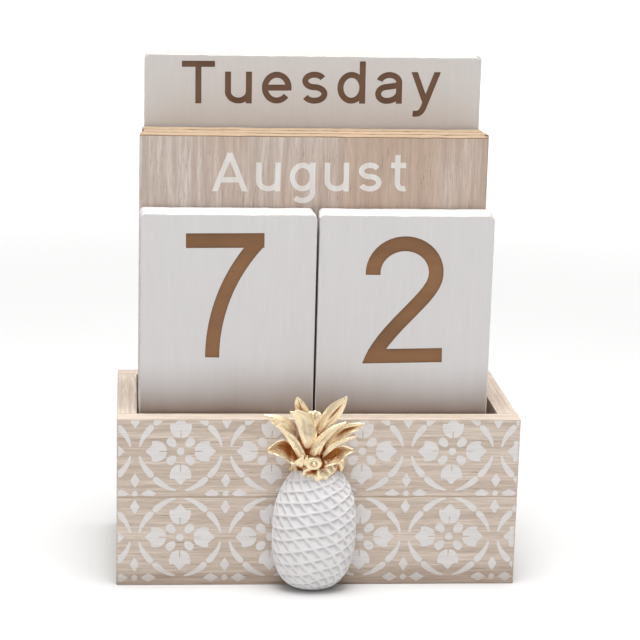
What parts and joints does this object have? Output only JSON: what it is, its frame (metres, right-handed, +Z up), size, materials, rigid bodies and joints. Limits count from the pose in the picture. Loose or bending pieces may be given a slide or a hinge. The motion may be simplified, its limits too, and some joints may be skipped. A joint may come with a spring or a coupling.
{
  "type": "flip desk calendar",
  "caption": "Wooden perpetual desk calendar: an open tray with a fruit ornament on its front holds loose number, month and weekday plates that lift out to be flipped.",
  "frame": {"origin": "centre of the tray's underside", "axes": "+Z up, -Y towards the front with the ornament, +X to the viewer's right"},
  "size_m": [0.156, 0.086, 0.2017],
  "materials": {
    "tray_wood": "raw fine-grained pale wood with a white stencilled pattern on the front",
    "month_wood": "raw pale wood with upright grain",
    "white_painted_wood": "matt white paint on wood, worn at the edges",
    "white_resin": "matt white cast resin",
    "gold_paint": "gold metallic paint on cast resin",
    "brad_steel": "plain steel wire"
  },
  "bodies": {
    "tray": {"tray_front_lower_slat": "tray_wood", "tray_front_upper_slat": "tray_wood", "tray_back_lower_slat": "tray_wood", "tray_back_upper_slat": "tray_wood", "tray_left_side": "tray_wood", "tray_right_side": "tray_wood", "tray_floor": "tray_wood", "corner_brads": "brad_steel", "floor_brads": "brad_steel", "pineapple_body": "white_resin", "pineapple_crown": "gold_paint"},
    "number_plate_left_front": {"number_plate_left_front": "white_painted_wood"},
    "number_plate_left_rear": {"number_plate_left_rear": "white_painted_wood"},
    "number_plate_right_front": {"number_plate_right_front": "white_painted_wood"},
    "number_plate_right_rear": {"number_plate_right_rear": "white_painted_wood"},
    "month_plate_front": {"month_plate_front": "month_wood"},
    "month_plate_middle": {"month_plate_middle": "month_wood"},
    "month_plate_rear": {"month_plate_rear": "month_wood"},
    "weekday_plate_front": {"weekday_plate_front": "white_painted_wood"},
    "weekday_plate_rear": {"weekday_plate_rear": "white_painted_wood"}
  },
  "joints": [
    {"name": "number_plate_left_front_lift", "type": "slide", "parent": "tray", "child": "number_plate_left_front", "axis": [0, 0, 1], "range_m": [0, 0.2]},
    {"name": "number_plate_left_rear_lift", "type": "slide", "parent": "tray", "child": "number_plate_left_rear", "axis": [0, 0, 1], "range_m": [0, 0.2]},
    {"name": "number_plate_right_front_lift", "type": "slide", "parent": "tray", "child": "number_plate_right_front", "axis": [0, 0, 1], "range_m": [0, 0.2]},
    {"name": "number_plate_right_rear_lift", "type": "slide", "parent": "tray", "child": "number_plate_right_rear", "axis": [0, 0, 1], "range_m": [0, 0.2]},
    {"name": "month_plate_front_lift", "type": "slide", "parent": "tray", "child": "month_plate_front", "axis": [0, 0, 1], "range_m": [0, 0.2]},
    {"name": "month_plate_middle_lift", "type": "slide", "parent": "tray", "child": "month_plate_middle", "axis": [0, 0, 1], "range_m": [0, 0.2]},
    {"name": "month_plate_rear_lift", "type": "slide", "parent": "tray", "child": "month_plate_rear", "axis": [0, 0, 1], "range_m": [0, 0.2]},
    {"name": "weekday_plate_front_lift", "type": "slide", "parent": "tray", "child": "weekday_plate_front", "axis": [0, 0, 1], "range_m": [0, 0.2]},
    {"name": "weekday_plate_rear_lift", "type": "slide", "parent": "tray", "child": "weekday_plate_rear", "axis": [0, 0, 1], "range_m": [0, 0.2]}
  ]
}
